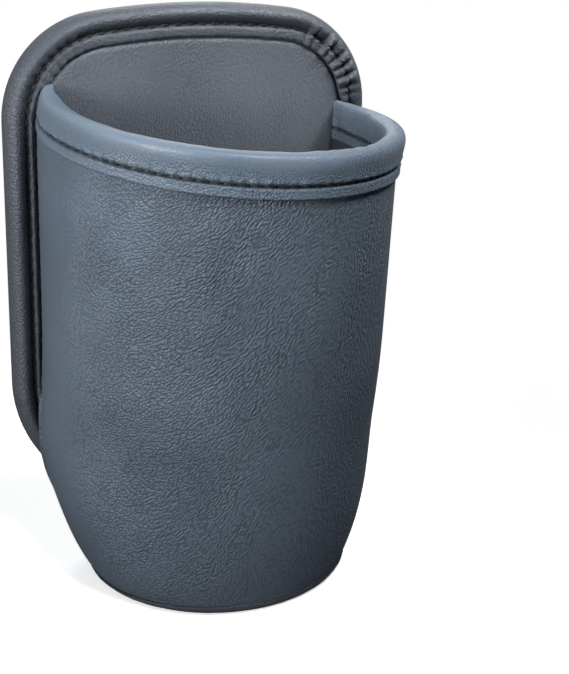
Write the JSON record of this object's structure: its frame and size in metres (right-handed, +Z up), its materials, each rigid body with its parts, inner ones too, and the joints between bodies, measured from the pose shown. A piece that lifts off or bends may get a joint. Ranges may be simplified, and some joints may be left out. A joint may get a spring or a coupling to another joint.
{
  "type": "car door cup holder",
  "caption": "Stitched leatherette pouch on a padded back panel that sticks to a car door and holds a drink cup.",
  "frame": {"origin": "middle of the mounting pad's face, which lies against the car door", "axes": "+Z up, +Y out of the back of the panel into the door, -Y towards the pouch, X along the door"},
  "size_m": [0.0974, 0.0701, 0.1428],
  "materials": {
    "leatherette": "satin grained",
    "facing": "matte grained",
    "thread": "matte",
    "stiffener": "matte",
    "foam": "matte"
  },
  "bodies": {
    "root": {"mounting_pad": "foam", "rear_cover": "facing", "back_board": "stiffener", "back_foam": "foam", "back_facing": "facing", "edge_binding": "leatherette", "edge_stitching": "thread", "sleeve_outer": "leatherette", "sleeve_core": "stiffener", "sleeve_lining": "facing", "rim_binding": "leatherette", "rim_stitching_outer": "thread", "rim_stitching_inner": "thread", "base_outer": "leatherette", "base_welt": "leatherette", "base_board": "stiffener", "base_lining": "facing"}
  },
  "joints": []
}
